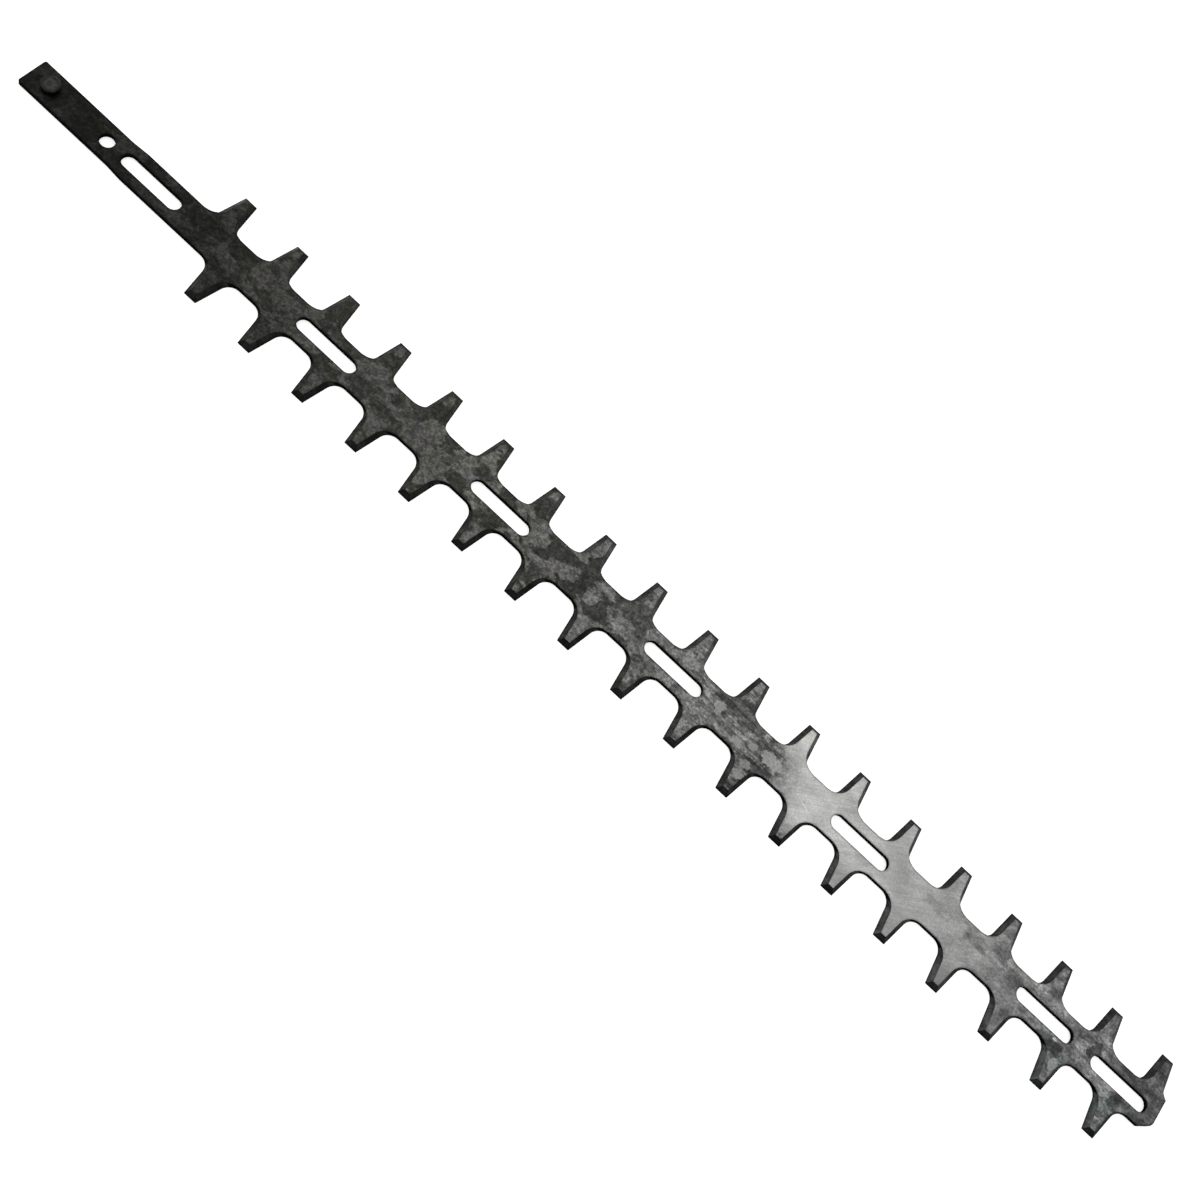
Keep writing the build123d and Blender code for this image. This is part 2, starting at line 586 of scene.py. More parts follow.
@dataclass(frozen=True)
class MottledScale:
    """The dark oiled scale, mottled in two tones, with small flecks, and with dark streaks where it ends.

    Attributes:
        dark: The tones along the blade of its dark places; part of their rise towards the nose is painted
            highlight, the key light's reflection.
        light: The tones along the blade of its light places, with the same painted highlight in their rise.
        mottling: The noise that parts the two.
        mottling_limit: Where in the noise dark gives way to light.
        spots: Places whose effect pushes the noise to light, or below 0 to dark.
        spot_limit: Where a spot's push begins, and where it is full, in shares of its reach.
        flecks: The flecks.
        streaks: The noise of the streaks.
        streak_limit: Where in the noise a streak begins, and where it is full.
        streaked: Where along the blade the streaks come in, and where they end.
        streak_depth: How much light a streak takes.
    """

    # Part of the rise towards the nose is painted highlight, the key light's reflection.
    dark: tuple[Zone, ...] = (
        Zone(-0.045, 28.0),
        Zone(0.060, 35.0),
        Zone(0.100, 48.0),
        Zone(0.170, 56.0),
        Zone(0.260, 60.0),
        Zone(0.310, 60.0),
        Zone(0.360, 82.0),
        Zone(0.400, 92.0),
        Zone(0.440, 80.0),
    )
    light: tuple[Zone, ...] = (
        Zone(-0.045, 37.0),
        Zone(0.060, 51.0),
        Zone(0.100, 68.0),
        Zone(0.170, 81.0),
        Zone(0.260, 100.0),
        Zone(0.310, 106.0),
        Zone(0.360, 114.0),
        Zone(0.400, 128.0),
        Zone(0.440, 130.0),
    )
    mottling: Pattern = Pattern(
        (95.0, 115.0, 95.0), shift=(5.7, 1.9, 0.0), detail=6.0, roughness=0.62, distortion=0.5
    )
    mottling_limit: Limit = (0.44, 0.57)
    spots: tuple[Spot, ...] = (
        Spot(0.030, -0.006, 0.011, 0.0030, 0.16),
        Spot(0.060, 0.000, 0.009, 0.0060, -0.10),
        Spot(0.083, 0.006, 0.008, 0.0050, -0.20),
        Spot(0.081, -0.004, 0.006, 0.0035, 0.14),
        Spot(0.132, -0.006, 0.016, 0.0035, 0.18),
        Spot(0.104, 0.005, 0.010, 0.0055, 0.18),
        Spot(0.128, 0.003, 0.012, 0.0040, 0.10),
        Spot(0.133, 0.020, 0.006, 0.0090, -0.12),
        Spot(0.143, 0.008, 0.006, 0.0030, -0.14),
        Spot(0.150, -0.018, 0.005, 0.0090, 0.05),
        Spot(0.166, 0.006, 0.009, 0.0055, 0.20),
        Spot(0.167, 0.025, 0.005, 0.0050, 0.12),
        Spot(0.169, 0.016, 0.005, 0.0035, -0.16),
        Spot(0.175, 0.011, 0.004, 0.0045, -0.16),
        Spot(0.184, 0.004, 0.004, 0.0030, -0.20),
        Spot(0.184, -0.005, 0.006, 0.0030, -0.14),
        Spot(0.184, -0.016, 0.004, 0.0060, 0.12),
        Spot(0.198, 0.011, 0.004, 0.0050, -0.20),
        Spot(0.199, 0.024, 0.004, 0.0050, 0.12),
        Spot(0.204, 0.016, 0.005, 0.0050, -0.16),
        Spot(0.206, 0.006, 0.007, 0.0050, 0.20),
        Spot(0.215, 0.008, 0.004, 0.0020, -0.24),
        Spot(0.208, -0.006, 0.014, 0.0035, 0.14),
        Spot(0.218, -0.014, 0.006, 0.0080, 0.12),
        Spot(0.227, 0.004, 0.009, 0.0050, 0.16),
        Spot(0.234, 0.022, 0.005, 0.0060, 0.03),
        Spot(0.252, -0.006, 0.014, 0.0035, -0.12),
        Spot(0.252, -0.019, 0.004, 0.0070, 0.14),
        Spot(0.263, 0.008, 0.008, 0.0030, 0.16),
        Spot(0.269, 0.017, 0.004, 0.0060, -0.18),
        Spot(0.276, 0.004, 0.007, 0.0055, 0.24),
        Spot(0.285, 0.002, 0.002, 0.0050, -0.26),
        Spot(0.286, -0.018, 0.004, 0.0080, -0.08),
        Spot(0.284, -0.007, 0.007, 0.0025, 0.14),
        Spot(0.295, 0.006, 0.005, 0.0030, -0.22),
        Spot(0.299, 0.010, 0.004, 0.0020, 0.24),
        Spot(0.295, -0.003, 0.008, 0.0028, 0.20),
        Spot(0.303, 0.023, 0.003, 0.0060, 0.18),
        Spot(0.308, 0.009, 0.005, 0.0070, -0.26),
        Spot(0.309, -0.002, 0.004, 0.0035, -0.20),
        Spot(0.318, 0.006, 0.005, 0.0030, 0.20),
        Spot(0.321, -0.005, 0.004, 0.0045, -0.18),
        Spot(0.320, -0.019, 0.004, 0.0070, 0.14),
        Spot(0.337, 0.024, 0.004, 0.0050, 0.04),
        Spot(0.338, 0.008, 0.009, 0.0060, -0.22),
        Spot(0.336, -0.002, 0.007, 0.0042, 0.24),
        Spot(0.355, 0.006, 0.012, 0.0035, 0.14),
        Spot(0.354, -0.018, 0.005, 0.0090, -0.04),
        Spot(0.371, 0.022, 0.005, 0.0070, 0.05),
        Spot(0.371, 0.010, 0.009, 0.0028, 0.22),
        Spot(0.388, -0.010, 0.008, 0.0120, 0.16),
        Spot(0.405, 0.023, 0.004, 0.0070, 0.20),
        Spot(0.408, 0.008, 0.016, 0.0040, -0.16),
        Spot(0.404, -0.006, 0.012, 0.0035, 0.22),
        Spot(0.424, -0.010, 0.006, 0.0030, -0.16),
        Spot(0.422, -0.025, 0.003, 0.0030, -0.20),
    )
    spot_limit: Limit = (1.4, 0.3)
    flecks: Layer = Layer(
        Pattern((330.0, 380.0, 330.0), shift=(2.9, 0.0, 4.0), detail=4.0, roughness=0.6, distortion=0.4),
        band=0.07,
        spread=0.13,
    )
    streaks: Pattern = Pattern((26.0, 420.0, 26.0), shift=(0.0, 3.0, 0.0), roughness=0.6)
    streak_limit: Limit = (0.46, 0.56)
    streaked: tuple[Limit, Limit] = ((0.375, 0.395), (0.442, 0.425))
    streak_depth: float = 0.28

    def mottled(self, point: BladePoint) -> Socket:
        """Parts the scale into light and dark places.

        Args:
            point: The point.

        Returns:
            1 on a light place, and 0 on a dark one.
        """
        g = point.graph
        outside, inside = self.spot_limit
        cover = g.noise(point.place, self.mottling)
        for spot in self.spots:
            push = g.fade(point.distance(spot), outside * spot.reach, inside * spot.reach, 0.0, spot.effect)
            cover = g.math(Sum.ADD, cover, push)
        return g.fade(cover, *self.mottling_limit)

    def tone(self, point: BladePoint, mottled: Socket) -> Socket:
        """Works out the scale's tone.

        Args:
            point: The point.
            mottled: Whether the place is light.

        Returns:
            The tone.
        """
        g = point.graph
        dark, light = (g.tone_along(point.along, zones) for zones in (self.dark, self.light))
        streaky = g.product([g.fade(point.along, *limit) for limit in self.streaked])
        streak = g.fade(g.noise(point.place, self.streaks), *self.streak_limit)
        return g.product([
            g.blend(mottled, dark, light),
            point.factor(self.flecks),
            g.math(Sum.MULTIPLY_ADD, streak, g.math(Sum.MULTIPLY, streaky, -self.streak_depth), 1.0),
        ])


@dataclass(frozen=True)
class GroundSteel:
    """The ground steel past the scale, which is bright at first and dull and stained towards the nose; part of
    that brightness is painted highlight, the key light's reflection.

    Attributes:
        zones: Its tones along the blade, whose peak is partly painted highlight, the key light's reflection,
            and partly ground steel.
        short_teeth_shade: Where across the blade the painted shade on the shorter row's teeth begins, and
            where it is full, as the light falls off on that side.
        short_teeth_shade_factor: How much light that painted shade leaves there.
        smears: Soft smears towards the nose.
        blotches: Small blotches towards the nose.
        runs: Fine runs along the blade, towards the nose.
        stains: Places whose effect multiplies the tone.
        soft_stain: Where a stain of the bright steel is full, and where it ends, in shares of its reach.
        crisp_stain: The same for a stain near the nose.
        crisp_from: Where along the blade the stains become crisp.
    """

    # Part of this peak is painted highlight, the key light's reflection; the rest is the ground steel's own
    # tone.
    zones: tuple[Zone, ...] = (
        Zone(0.425, 138.0),
        Zone(0.455, 161.0),
        Zone(0.558, 137.0),
        Zone(0.580, 120.0),
        Zone(0.605, 114.0),
        Zone(0.650, 117.0),
        Zone(0.690, 82.0),
    )
    # Painted shade: the light falls off over the shorter row's teeth.
    short_teeth_shade: Limit = (-0.009, -0.022)
    short_teeth_shade_factor: float = 0.87
    smears: Layer = Layer(
        Pattern(
            (60.0, 110.0, 60.0), turn=12.0, shift=(4.4, 0.7, 0.0), detail=5.0, roughness=0.6, distortion=0.4
        ),
        band=0.12,
        spread=Amount(0.0, 0.0, 0.17),
    )
    blotches: Layer = Layer(
        Pattern((230.0, 260.0, 230.0), shift=(1.2, 0.0, 3.0), detail=4.0, roughness=0.6, distortion=0.4),
        band=0.07,
        spread=Amount(0.0, 0.0, 0.13),
    )
    runs: Layer = Layer(
        Pattern((22.0, 620.0, 22.0), shift=(0.0, 5.0, 0.0), roughness=0.6),
        band=0.16,
        spread=Amount(0.0, 0.0, 0.08),
    )
    stains: tuple[Spot, ...] = (
        Spot(0.515, 0.004, 0.006, 0.0050, 0.92),
        Spot(0.537, 0.003, 0.009, 0.0030, 0.86),
        Spot(0.558, 0.003, 0.004, 0.0022, 0.76),
        Spot(0.566, 0.002, 0.004, 0.0020, 0.80),
        Spot(0.577, 0.009, 0.007, 0.0040, 0.76),
        Spot(0.590, 0.002, 0.006, 0.0042, 0.78),
        Spot(0.594, -0.014, 0.004, 0.0060, 0.82),
        Spot(0.624, -0.010, 0.005, 0.0035, 0.72),
        Spot(0.635, 0.001, 0.004, 0.0040, 1.18),
        Spot(0.642, 0.004, 0.004, 0.0050, 0.62),
        Spot(0.643, 0.013, 0.003, 0.0025, 1.24),
        Spot(0.663, -0.009, 0.004, 0.0045, 0.70),
        Spot(0.676, -0.004, 0.008, 0.0045, 0.84),
    )
    soft_stain: Limit = (0.4, 1.1)
    crisp_stain: Limit = (0.8, 1.1)
    crisp_from: float = 0.595

    def tone(self, point: BladePoint) -> Socket:
        """Works out the steel's tone.

        Args:
            point: The point.

        Returns:
            The tone.
        """
        g = point.graph
        _, across, _ = g.split(point.place)
        return g.product([
            g.tone_along(point.along, self.zones),
            # Painted shade on the shorter row's teeth.
            g.fade(across, *self.short_teeth_shade, 1.0, self.short_teeth_shade_factor),
            *(point.factor(layer) for layer in (self.smears, self.blotches, self.runs)),
            *(self.stain_factor(point, stain) for stain in self.stains),
        ])

    def stain_factor(self, point: BladePoint, stain: Spot) -> Socket:
        """Works out what a stain does to the tone.

        Args:
            point: The point.
            stain: The stain.

        Returns:
            The stain's factor for the tone.
        """
        core, rim = self.soft_stain if stain.x < self.crisp_from else self.crisp_stain
        ragged = point.ragged_distance(stain)
        return point.graph.fade(ragged, core * stain.reach, rim * stain.reach, stain.effect, 1.0)


@dataclass(frozen=True)
class GroundBevels:
    """The ground bevels of both rows, with short lines square to the cutting edge, and smears of oil; their
    tones, set by row and by facing, are painted light and shade.

    Attributes:
        long_row_tone_and_light: The tones of the longer row's bevels, painted light and shade by facing.
        short_row_tone_and_light: The tones of the shorter row's bevels, painted light and shade by facing.
        row_limit: How a bevel faces across the blade where one row gives way to the other.
        flank_limit: How it faces along the blade where rear flanks give way to nose flanks.
        square_limit: How it faces along the blade where flanks give way to tips.
        tip_limit: How far from the blade's middle line the tips' bevels begin.
        wheel_marks: The short lines.
        oil: The smears of oil.
    """

    # Painted light and shade: each facing of each row has the tone the light gave it.
    long_row_tone_and_light: BevelTones = BevelTones(
        rear_flanks=(Zone(0.06, 76.0), Zone(0.16, 66.0), Zone(0.30, 58.0), Zone(0.40, 52.0), Zone(0.69, 56.0)),
        nose_flanks=(Zone(0.06, 44.0), Zone(0.16, 64.0), Zone(0.36, 78.0), Zone(0.69, 62.0)),
        tips=(Zone(0.06, 46.0), Zone(0.69, 42.0)),
    )
    short_row_tone_and_light: BevelTones = BevelTones(
        rear_flanks=(Zone(0.06, 52.0), Zone(0.20, 48.0), Zone(0.40, 48.0), Zone(0.55, 56.0), Zone(0.66, 74.0)),
        nose_flanks=(Zone(0.06, 38.0), Zone(0.30, 38.0), Zone(0.44, 44.0), Zone(0.66, 58.0)),
        tips=(Zone(0.06, 30.0), Zone(0.40, 30.0), Zone(0.66, 38.0)),
    )
    row_limit: Limit = (-0.04, 0.04)
    flank_limit: Limit = (-0.3, 0.3)
    square_limit: Limit = (0.35, 0.15)
    tip_limit: Limit = (0.0269, 0.0275)
    wheel_marks: Layer = Layer(Pattern((420.0, 700.0, 60.0), detail=2.0), band=0.2, spread=0.12)
    oil: Layer = Layer(
        Pattern((150.0, 150.0, 150.0), shift=(2.2, 0.0, 0.0), detail=5.0, roughness=0.62),
        band=0.14,
        spread=0.20,
    )

    def tone(self, point: BladePoint) -> Socket:
        """Works out the bevels' tone.

        Args:
            point: The point.

        Returns:
            The tone.
        """
        g = point.graph
        x, y, _ = g.split(point.place)
        side, across, _ = g.split(point.facing)
        square = g.fade(g.math(Sum.ABSOLUTE, side), *self.square_limit)
        at_tip = g.math(Sum.MULTIPLY, square, g.fade(g.math(Sum.ABSOLUTE, y), *self.tip_limit))
        rows = []
        # Painted light and shade: the tone follows the row and the way the bevel faces.
        for row in (self.short_row_tone_and_light, self.long_row_tone_and_light):
            rear, nose = (g.tone_along(x, zones) for zones in (row.rear_flanks, row.nose_flanks))
            flank = g.fade(side, *self.flank_limit, rear, nose)
            rows.append(g.blend(at_tip, flank, g.tone_along(x, row.tips)))
        bare = g.fade(across, *self.row_limit, *rows)
        return g.product([bare, point.factor(self.wheel_marks), point.factor(self.oil)])


@dataclass(frozen=True)
class GroundSideTints:
    """The tints of the ground side: olive oil on the scale, and traces of straw and blue on the steel.

    Attributes:
        hues: The noise that they follow.
        dry: The scale's tint without oil.
        oily: Its tint with oil.
        oil_cover: Where in the noise the oil begins, and where it is full.
        light_oil: How much of the oil shows on the scale's light places.
        scale_end: Where along the blade the scale's tint gives way to the steel's.
        steel: The steel's own tint.
        straw: The trace of straw where the scale ends.
        film: The bluish film on the last teeth of the shorter row.
    """

    hues: Pattern = Pattern((170.0, 170.0, 170.0), shift=(8.0, 0.0, 2.0), detail=4.0)
    dry: Triple = (1.02, 1.00, 0.96)
    oily: Triple = (1.00, 1.02, 0.82)
    oil_cover: Limit = (0.36, 0.60)
    light_oil: float = 0.5
    scale_end: Limit = (0.20, 0.45)
    steel: Triple = (1.0, 1.0, 0.99)
    straw: Tinge = Tinge(
        (1.01, 1.0, 0.95), along=((0.425, 0.440), (0.480, 0.455)), across=(0.002, 0.010), cover=(0.36, 0.56)
    )
    film: Tinge = Tinge(
        (0.88, 1.0, 0.99), along=((0.575, 0.620),), across=(-0.004, -0.012), cover=(0.42, 0.54)
    )

    def tint(self, point: BladePoint, mottled: Socket) -> Socket:
        """Works out the tint.

        Args:
            point: The point.
            mottled: Whether the place is a light one of the scale.

        Returns:
            The colour that a neutral tone is multiplied by.
        """
        g = point.graph
        x, y, _ = g.split(point.place)
        hue = g.noise(point.place, self.hues)
        oiled = g.math(Sum.MULTIPLY, g.fade(hue, *self.oil_cover), g.blend(mottled, 1.0, self.light_oil))
        steel = self.steel
        for tinge in (self.straw, self.film):
            limits = [(x, limit) for limit in tinge.along] + [(y, tinge.across), (hue, tinge.cover)]
            share = g.product([g.fade(value, *limit) for value, limit in limits])
            steel = g.mixed(share, steel, tinge.colour)
        return g.mixed(g.fade(point.along, *self.scale_end), g.mixed(oiled, self.dry, self.oily), steel)


@dataclass(frozen=True)
class ShearedWall:
    """The sheared walls: a burnished band at the top over a darker torn one, both painted near black, which is
    painted shade.

    Attributes:
        torn: The torn band's colour, near black: painted shade.
        burnished: The burnished band's colour, near black: painted shade.
        limit: The height where one gives way to the other.
        raggedness: The noise that frays this limit.
        rag_height: How far the noise shifts it, in metres.
        roughness: How dull the walls are.
    """

    # Painted shade: both bands are near black, standing in for the shade on the walls.
    torn: Triple = (0.003, 0.003, 0.003)
    burnished: Triple = (0.008, 0.008, 0.008)
    limit: Limit = (0.0024, 0.0028)
    raggedness: Pattern = Pattern((500.0, 500.0, 60.0))
    rag_height: float = 0.0012
    roughness: float = 0.75

    def colour(self, point: BladePoint) -> Socket:
        """Works out the walls' colour.

        Args:
            point: The point.

        Returns:
            The colour.
        """
        g = point.graph
        _, _, height = g.split(point.place)
        ragged = g.math(Sum.MULTIPLY_ADD, g.noise(point.place, self.raggedness), self.rag_height, height)
        return g.mixed(g.fade(ragged, *self.limit), self.torn, self.burnished)


@dataclass(frozen=True)
class RubbedUnderside:
    """The underside, which the other blade rubs bright along the blade's length, with oil left on it.

    Attributes:
        scratches: The noise of the rubbed lines.
        scratch_limit: Where in the noise dull lines give way to bright ones.
        dull: The dull lines' colour.
        bright: The bright lines' colour.
        oil: The noise of the oil.
        oil_limit: Where in the noise the oil begins, and where it is full.
        oil_share: How much of the steel it hides.
        oil_colour: Its colour.
    """

    scratches: Pattern = Pattern((9.0, 1300.0, 1.0))
    scratch_limit: Limit = (0.35, 0.65)
    dull: Triple = (0.20, 0.20, 0.195)
    bright: Triple = (0.36, 0.36, 0.355)
    oil: Pattern = Pattern((35.0, 60.0, 35.0), shift=(1.3, 4.0, 0.0), detail=4.0, roughness=0.6)
    oil_limit: Limit = (0.50, 0.64)
    oil_share: float = 0.7
    oil_colour: Triple = (0.07, 0.068, 0.06)

    def colour(self, point: BladePoint) -> Socket:
        """Works out the underside's colour.

        Args:
            point: The point.

        Returns:
            The colour.
        """
        g = point.graph
        scratched = g.fade(g.noise(point.place, self.scratches), *self.scratch_limit)
        oiled = g.fade(g.noise(point.place, self.oil), *self.oil_limit, 0.0, self.oil_share)
        return g.mixed(oiled, g.mixed(scratched, self.dull, self.bright), self.oil_colour)


@dataclass(frozen=True)
class OiledBladeSteel:
    """Hardened steel with a dark oiled scale that gives way to bright ground steel towards the nose, whose
    brightness is partly painted highlight, the key light's reflection.

    Tones are worked out as a screen shows them, and turned into light at the end. They change along the
    blade, and their limits lie aslant and are frayed by noise. The layers multiply the tone. The way the
    surface faces tells the face from the bevels, the sheared walls and the sliding underside.

    Attributes:
        scale: The scale.
        steel: The ground steel past it.
        bevels: The ground bevels.
        tints: The tints of the ground side.
        wall: The sheared walls.
        underside: The underside.
        face_limit: How far the surface faces up where the bevels give way to the face.
        wall_limit: How far it faces up or down where the bevels give way to the walls.
        slant: How far a tone's limit runs towards the drive end per metre across the blade.
        drift: The noise that frays the tones' limits.
        fray: How far it shifts them, in metres.
        scale_end: Where the scale gives way to the bright steel.
        dulling: Where the bright steel begins to turn dull, and where it has.
        raggedness: The noise that frays stains and patches.
        ragged_share: How far it shifts their edges, in shares of their reach.
        fine_lines: The fine grinding lines.
        broad_lines: The broad ones under them.
        fine_share: How much of the lines is fine.
        line_band: How far from its middle the noise of the lines has its full effect.
        line_spread: How much light the lines give or take.
        line_depth: How deep they are.
        clouds: Soft clouds on the face.
        speckle: Fine spots on the face.
        grain: The finest grain of the face.
        scratches: Thin light scratches.
        scratch_limit: Where in the noise a scratch begins, and where it is full.
        scratch_factor: How much light it has.
        bare_patches: Places where the scale has come off, whose effect is the steel's own display grey.
        patch_limit: Where a patch begins, and where it is bare, in shares of its reach.
        patch_speckle: How much light the speckle gives or takes there.
        smears: The noise that makes the face dull and glossy by turns.
        smear_depth: How far it changes the roughness.
        dullness: The roughness on each stretch of the blade.
        pits: The noise of the pits.
        pitting: How much of the pits each stretch has.
        pit_depth: How deep they are.
        edge_radius: How far the sharp edges are worn round.
        edge_shade_reach: How far from a sheared edge the painted shade along it is looked for.
        oil_limit: How much the worn normal agrees with the surface's own where that painted shade begins and
            is full.
        edge_shade: How much light that painted shade leaves.
        grazing: How much a glancing view brightens the bevels and walls, from 0 to 1.
    """

    scale: MottledScale = MottledScale()
    steel: GroundSteel = GroundSteel()
    bevels: GroundBevels = GroundBevels()
    tints: GroundSideTints = GroundSideTints()
    wall: ShearedWall = ShearedWall()
    underside: RubbedUnderside = RubbedUnderside()
    face_limit: Limit = (0.86, 0.94)
    wall_limit: Limit = (0.45, 0.25)
    slant: float = 0.7
    drift: Pattern = Pattern((48.0, 48.0, 48.0), detail=4.0, roughness=0.6)
    fray: float = 0.03
    scale_end: Limit = (0.451, 0.427)
    dulling: Limit = (0.515, 0.635)
    raggedness: Pattern = Pattern((210.0, 240.0, 210.0), detail=5.0, roughness=0.65)
    ragged_share: float = 2.4
    fine_lines: Pattern = Pattern((28.0, 1100.0, 1.0), turn=33.0, detail=2.0)
    broad_lines: Pattern = Pattern((14.0, 260.0, 1.0), turn=29.0, detail=2.0)
    fine_share: float = 0.7
    line_band: float = 0.20
    line_spread: Amount = Amount(0.04, 0.05, 0.05)
    line_depth: float = 0.00003
    clouds: Layer = Layer(
        Pattern((62.0, 62.0, 62.0), shift=(3.1, 0.4, 0.0), detail=5.0, roughness=0.6),
        band=0.18,
        spread=Amount(0.08, 0.04, 0.10),
    )
    speckle: Layer = Layer(
        Pattern((760.0, 760.0, 760.0), roughness=0.7), band=0.18, spread=Amount(0.17, 0.04, 0.16)
    )
    grain: Layer = Layer(Pattern((2400.0, 2400.0, 2400.0), detail=1.0), band=0.25, spread=0.07)
    scratches: tuple[Pattern, ...] = (
        Pattern((45.0, 1500.0, 1.0), turn=52.0, shift=(1.7, 1.7, 0.0), detail=2.0),
        Pattern((45.0, 1500.0, 1.0), turn=-18.0, shift=(6.1, 6.1, 0.0), detail=2.0),
    )
    scratch_limit: Limit = (0.66, 0.72)
    scratch_factor: float = 1.14
    bare_patches: tuple[Spot, ...] = (
        Spot(0.3955, 0.0024, 0.0030, 0.0042, 137.0),
        Spot(0.4120, -0.0052, 0.0034, 0.0024, 141.0),
        Spot(0.4197, -0.0016, 0.0028, 0.0018, 130.0),
        Spot(0.4310, -0.0012, 0.0058, 0.0040, 143.0),
        Spot(0.4220, -0.0115, 0.0034, 0.0026, 126.0),
        Spot(0.4224, -0.0178, 0.0028, 0.0028, 130.0),
        Spot(0.6265, -0.0165, 0.0018, 0.0050, 136.0),
        Spot(0.6215, -0.0060, 0.0014, 0.0010, 168.0),
    )
    patch_limit: Limit = (1.05, 0.85)
    patch_speckle: float = 0.10
    smears: Pattern = Pattern((70.0, 120.0, 70.0), shift=(9.0, 2.0, 0.0), detail=4.0)
    smear_depth: float = 0.4
    dullness: Amount = Amount(0.52, 0.38, 0.50)
    pits: Pattern = Pattern((420.0, 420.0, 420.0), shift=(0.0, 0.0, 6.0))
    pitting: Amount = Amount(1.0, 0.25, 0.8)
    pit_depth: float = 0.00006
    edge_radius: float = 0.00020
    edge_shade_reach: float = 0.0025
    oil_limit: Limit = (0.94, 0.84)
    edge_shade: float = 0.30
    grazing: float = 0.5

    def material(self) -> bpy.types.Material:
        """Builds the finish.

        Returns:
            The material.
        """
        g = FinishGraph("oiled_blade_steel")
        point = self.point(g)
        _, _, up = g.split(point.facing)
        on_face = g.fade(up, *self.face_limit)
        on_underside = g.fade(g.math(Sum.MULTIPLY, up, -1.0), *self.face_limit)
        on_wall = g.fade(g.math(Sum.ABSOLUTE, up), *self.wall_limit)
        # Painted shade: a dark rim along the sheared edges, found by the worn normal.
        oiled = g.at_edge(g.worn_edges(self.edge_shade_reach), self.oil_limit)
        mottled = self.scale.mottled(point)
        ground = g.blend(on_face, self.bevels.tone(point), self.face_tone(point, mottled))
        colour = g.mixed(1.0, self.tints.tint(point, mottled), g.light(ground), Blend.MULTIPLY)
        colour = g.mixed(on_underside, colour, self.underside.colour(point))
        colour = g.mixed(on_wall, colour, self.wall.colour(point))
        # The painted shade along the sheared edges darkens the colour.
        colour = g.mixed(1.0, colour, g.blend(oiled, 1.0, self.edge_shade), Blend.MULTIPLY)
        g.put(g.shader.inputs["Base Color"], colour)
        g.shader.inputs["Metallic"].default_value = 1.0
        g.put(g.shader.inputs["Specular Tint"], g.mixed(on_face, (self.grazing,) * 3, (1.0, 1.0, 1.0)))
        g.put(g.shader.inputs["Roughness"], g.blend(on_wall, self.roughness(point), self.wall.roughness))
        g.put(g.shader.inputs["Normal"], self.surface_relief(point))
        return g.material

    def point(self, g: FinishGraph) -> BladePoint:
        """Gathers what the layers need to know about a point.

        Args:
            g: The finish's graph.

        Returns:
            The point. Its place along the zones is x + slant * y + fray * (drift - NOISE_MIDDLE), in metres.
        """
        place = g.coordinate(Coordinate.PLACE)
        x, y, _ = g.split(place)
        drift = g.math(Sum.SUBTRACT, g.noise(place, self.drift), NOISE_MIDDLE)
        ragged = g.math(Sum.SUBTRACT, g.noise(place, self.raggedness), NOISE_MIDDLE)
        along = g.math(Sum.MULTIPLY_ADD, drift, self.fray, g.math(Sum.MULTIPLY_ADD, y, self.slant, x))
        return BladePoint(
            graph=g,
            place=place,
            facing=g.coordinate(Coordinate.FACING),
            along=along,
            scaled=g.fade(along, *self.scale_end),
            dulled=g.fade(along, *self.dulling),
            lines=self.grinding_lines(g, place),
            ragged=g.math(Sum.MULTIPLY, ragged, self.ragged_share),
            shortened={shape: g.joined(g.math(Sum.DIVIDE, x, shape.value), y, 0.0) for shape in SpotShape},
        )

    def grinding_lines(self, g: FinishGraph, place: Socket) -> Socket:
        """Lays long thin lines over the face, fine ones over broad ones, as noise about NOISE_MIDDLE."""
        broad = g.math(Sum.MULTIPLY, g.noise(place, self.broad_lines), 1.0 - self.fine_share)
        return g.math(Sum.MULTIPLY_ADD, g.noise(place, self.fine_lines), self.fine_share, broad)

    def face_tone(self, point: BladePoint, mottled: Socket) -> Socket:
        """Works out the tone of the ground face: scale and steel, the layers over both, and the bare patches.

        Args:
            point: The point.
            mottled: Whether the place is a light one of the scale.

        Returns:
            The tone.
        """
        g = point.graph
        speckle = g.noise(point.place, self.speckle.pattern)
        scratches = [g.noise(point.place, pattern) for pattern in self.scratches]
        tone = g.product([
            g.blend(point.scaled, self.steel.tone(point), self.scale.tone(point, mottled)),
            point.factor(self.clouds),
            g.swing(speckle, self.speckle.band, point.amount(self.speckle.spread)),
            point.factor(self.grain),
            g.swing(point.lines, self.line_band, point.amount(self.line_spread)),
            *(g.fade(scratch, *self.scratch_limit, 1.0, self.scratch_factor) for scratch in scratches),
        ])
        outside, inside = self.patch_limit
        speckled = g.swing(speckle, self.speckle.band, self.patch_speckle)
        for patch in self.bare_patches:
            bare = g.fade(point.ragged_distance(patch), outside * patch.reach, inside * patch.reach)
            tone = g.blend(bare, tone, g.math(Sum.MULTIPLY, speckled, patch.effect / FULL_GREY))
        return tone

    def roughness(self, point: BladePoint) -> Socket:
        """Works out how dull the ground surface is.

        Args:
            point: The point.

        Returns:
            The roughness.
        """
        g = point.graph
        smear = g.math(Sum.SUBTRACT, g.noise(point.place, self.smears), NOISE_MIDDLE)
        return g.math(Sum.MULTIPLY_ADD, smear, self.smear_depth, point.amount(self.dullness))

    def surface_relief(self, point: BladePoint) -> Socket:
        """Rounds the sharp edges a little, pits the surface, and raises the grinding lines.

        Args:
            point: The point.

        Returns:
            A normal.
        """
        g = point.graph
        pits = g.math(Sum.MULTIPLY, g.noise(point.place, self.pits), point.amount(self.pitting))
        pitted = g.relief(pits, self.pit_depth, g.worn_edges(self.edge_radius))
        return g.relief(point.lines, self.line_depth, pitted)


